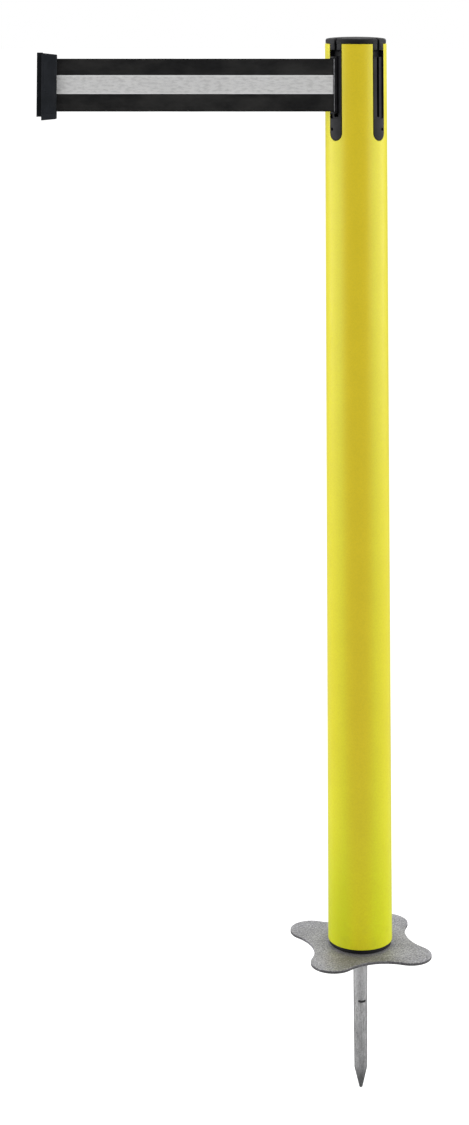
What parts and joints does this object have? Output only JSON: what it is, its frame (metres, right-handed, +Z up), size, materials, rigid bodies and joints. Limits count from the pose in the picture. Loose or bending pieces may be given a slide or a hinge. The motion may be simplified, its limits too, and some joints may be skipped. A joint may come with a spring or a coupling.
{
  "type": "retractable belt barrier post",
  "caption": "Yellow tube post with a ground spike and four-lobed plate, and a retractable striped belt with a T-rail clip in its slotted head.",
  "frame": {"origin": "on the post's axis at the blunt tip of the ground spike; the plate's underside, the ground line, is 0.1285 m above it", "axes": "+Z up along the post, -X along the belt as it is drawn out, -Y towards the front, where the exit slot and one receiver show"},
  "size_m": [0.3747, 0.1302, 0.9803],
  "materials": {
    "tube_yellow": "semi-gloss extruded plastic pipe",
    "black_plastic": "fine-textured moulded plastic",
    "clip_plastic": "satin moulded plastic",
    "spool_plastic": "natural moulded acetal",
    "plate_steel": "mill finish, laser cut, heat tint by the weld",
    "weld_steel": "raw weld bead",
    "bright_steel": "zinc plated",
    "spring_steel": "blued strip",
    "bronze": "sintered",
    "brake_lining": "moulded friction lining",
    "webbing": "woven polyester, black with a light grey stripe"
  },
  "bodies": {
    "post": {"base_plate": "plate_steel", "ground_spike": "plate_steel", "spike_weld": "weld_steel", "bottom_plug": "black_plastic", "captive_nut": "bright_steel", "nut_retainer": "bright_steel", "post_tube": "tube_yellow", "exit_receiver": "black_plastic", "receiver_front_right": "black_plastic", "receiver_back_right": "black_plastic", "receiver_back_left": "black_plastic", "belt_exit_guide": "black_plastic", "guide_pin_front": "bright_steel", "guide_pin_rear": "bright_steel", "top_cap": "black_plastic", "cap_screw": "bright_steel", "top_bearing_plate": "black_plastic", "cassette_shell": "black_plastic", "cassette_base": "black_plastic", "centre_axle": "bright_steel", "axle_clip": "bright_steel", "brake_drum": "bright_steel", "belt_inner": "webbing"},
    "reel": {"spool": "spool_plastic", "upper_bush": "bronze", "lower_bush": "bronze", "belt_roll": "webbing", "spring_cover": "bright_steel", "power_spring": "spring_steel", "brake_pin_left": "bright_steel", "brake_pin_right": "bright_steel"},
    "brake_shoe_right": {"brake_shoe_right": "brake_lining"},
    "brake_shoe_left": {"brake_shoe_left": "brake_lining"},
    "belt_lead": {"belt_webbing": "webbing"},
    "belt_clip": {"clip_body": "clip_plastic", "clip_cover": "clip_plastic", "clip_screw_upper": "bright_steel", "clip_screw_lower": "bright_steel", "belt_anchor_pin": "bright_steel", "belt_end_loop": "webbing"}
  },
  "joints": [
    {"name": "belt_swing", "type": "hinge", "parent": "post", "child": "belt_lead", "pos_m": [-0.02376, -0.02376, 0.9344], "axis": [0, 0, 1], "range_deg": [-35, 125]},
    {"name": "belt_pull", "type": "slide", "parent": "belt_lead", "child": "belt_clip", "axis": [-1, 0, 0], "range_m": [-0.262, 2], "deforming": ["belt_webbing"]},
    {"name": "reel_spin", "type": "hinge", "parent": "post", "child": "reel", "pos_m": [0, 0, 0.9288], "axis": [0, 0, 1], "range_deg": [-870, 6600], "deforming": ["power_spring"]},
    {"name": "brake_shoe_right_swing", "type": "hinge", "parent": "reel", "child": "brake_shoe_right", "pos_m": [0.014, 0, 0.8918], "axis": [0, 0, -1], "range_deg": [0, 1.9]},
    {"name": "brake_shoe_left_swing", "type": "hinge", "parent": "reel", "child": "brake_shoe_left", "pos_m": [-0.014, 0, 0.8918], "axis": [0, 0, -1], "range_deg": [0, 1.9]}
  ],
  "couplings": [
    {"joint": "reel_spin", "follows": "belt_pull", "rad_per_m": 57.47}
  ]
}
